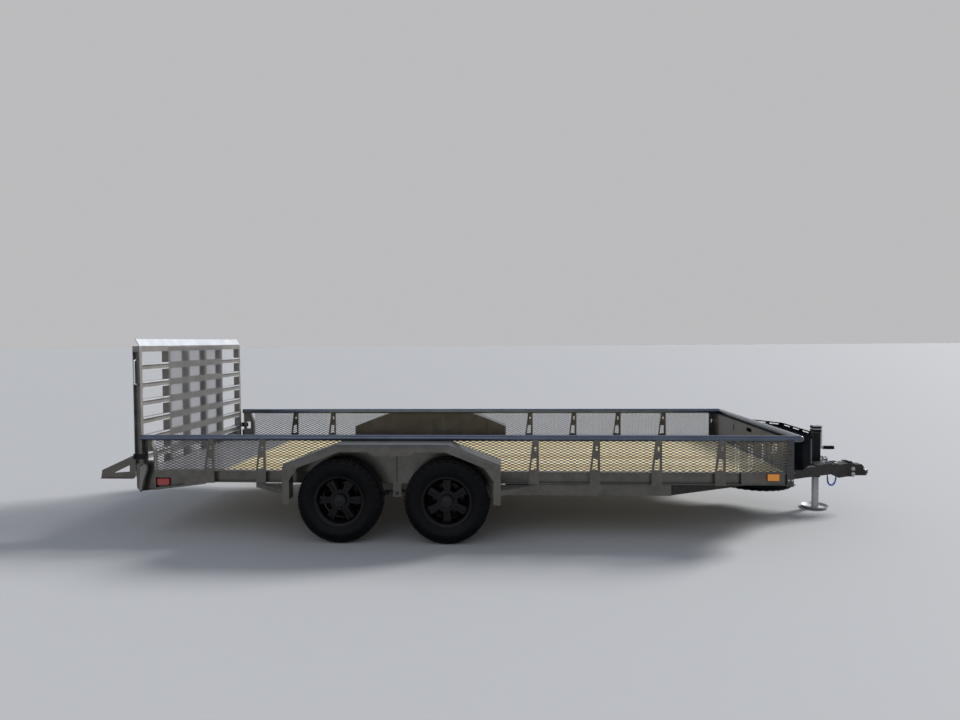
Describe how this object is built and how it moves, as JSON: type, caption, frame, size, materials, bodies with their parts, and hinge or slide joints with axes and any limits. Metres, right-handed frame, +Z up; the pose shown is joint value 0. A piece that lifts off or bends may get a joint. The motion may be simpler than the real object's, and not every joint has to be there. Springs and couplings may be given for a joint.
{
  "type": "utility trailer",
  "caption": "Tandem-axle utility trailer with expanded-mesh sides, wood deck, upright ramp gate, tongue toolbox and drop-leg jack.",
  "frame": {"origin": "centre of the overall box, at the road", "axes": "+X towards the coupler, +Y to the trailer's left, +Z up"},
  "size_m": [6.965, 2.59, 1.662],
  "materials": {
    "grey_paint": "semi-gloss metallic",
    "pine_boards": "planed, treated",
    "zinc_steel": "zinc plated",
    "black_paint": "semi-gloss",
    "black_wheel": "gloss",
    "tyre_rubber": "matte",
    "blue_cord": "satin",
    "amber_lens": "moulded lens",
    "red_lens": "moulded lens"
  },
  "bodies": {
    "chassis": {"side_rail_right": "grey_paint", "side_rail_left": "grey_paint", "front_crossmember": "grey_paint", "rear_crossmember": "grey_paint", "deck_crossmembers": "grey_paint", "deck_boards": "pine_boards", "tongue_beams": "grey_paint", "coupler_bracket": "grey_paint", "coupler": "grey_paint", "safety_chains": "zinc_steel", "breakaway_cord": "blue_cord", "jack_tube": "black_paint", "jack_crank": "zinc_steel", "toolbox": "black_paint", "top_rail_right": "grey_paint", "top_rail_left": "grey_paint", "front_rail": "grey_paint", "side_posts_right": "grey_paint", "side_posts_left": "grey_paint", "front_corner_posts": "grey_paint", "rear_corner_posts": "grey_paint", "side_mesh_right": "grey_paint", "side_mesh_left": "grey_paint", "front_panel": "grey_paint", "fender_right": "grey_paint", "fender_left": "grey_paint", "fender_backings": "grey_paint", "axles": "black_paint", "leaf_springs": "black_paint", "spring_hangers": "grey_paint", "equalizers": "black_paint", "amber_lamps": "amber_lens", "red_lamps": "red_lens", "gate_latches": "black_paint", "spare_tyre": "tyre_rubber", "spare_wheel": "black_wheel", "spare_carrier": "zinc_steel"},
    "gate": {"gate_frame": "grey_paint", "gate_mesh": "grey_paint", "gate_knees": "grey_paint", "gate_handles": "grey_paint"},
    "jack_leg": {"jack_leg": "zinc_steel"},
    "toolbox_lid": {"toolbox_lid": "black_paint"},
    "rear_right_wheel": {"rear_right_tyre": "tyre_rubber", "rear_right_wheel": "black_wheel"},
    "rear_left_wheel": {"rear_left_tyre": "tyre_rubber", "rear_left_wheel": "black_wheel"},
    "front_right_wheel": {"front_right_tyre": "tyre_rubber", "front_right_wheel": "black_wheel"},
    "front_left_wheel": {"front_left_tyre": "tyre_rubber", "front_left_wheel": "black_wheel"}
  },
  "joints": [
    {"name": "gate_hinge", "type": "hinge", "parent": "chassis", "child": "gate", "pos_m": [-3.0925, 0, 0.45], "axis": [0, -1, 0], "range_deg": [0, 110]},
    {"name": "jack_slide", "type": "slide", "parent": "chassis", "child": "jack_leg", "axis": [0, 0, 1], "range_m": [-0.1, 0.25]},
    {"name": "lid_hinge", "type": "hinge", "parent": "chassis", "child": "toolbox_lid", "pos_m": [2.4675, 0, 0.7383], "axis": [0, -1, 0], "range_deg": [0, 75]},
    {"name": "rear_right_wheel_spin", "type": "hinge", "parent": "chassis", "child": "rear_right_wheel", "pos_m": [-1.2885, -1.176, 0.344], "axis": [0, 1, 0], "continuous": true},
    {"name": "rear_left_wheel_spin", "type": "hinge", "parent": "chassis", "child": "rear_left_wheel", "pos_m": [-1.2885, 1.176, 0.344], "axis": [0, 1, 0], "continuous": true},
    {"name": "front_right_wheel_spin", "type": "hinge", "parent": "chassis", "child": "front_right_wheel", "pos_m": [-0.4185, -1.176, 0.344], "axis": [0, 1, 0], "continuous": true},
    {"name": "front_left_wheel_spin", "type": "hinge", "parent": "chassis", "child": "front_left_wheel", "pos_m": [-0.4185, 1.176, 0.344], "axis": [0, 1, 0], "continuous": true}
  ]
}
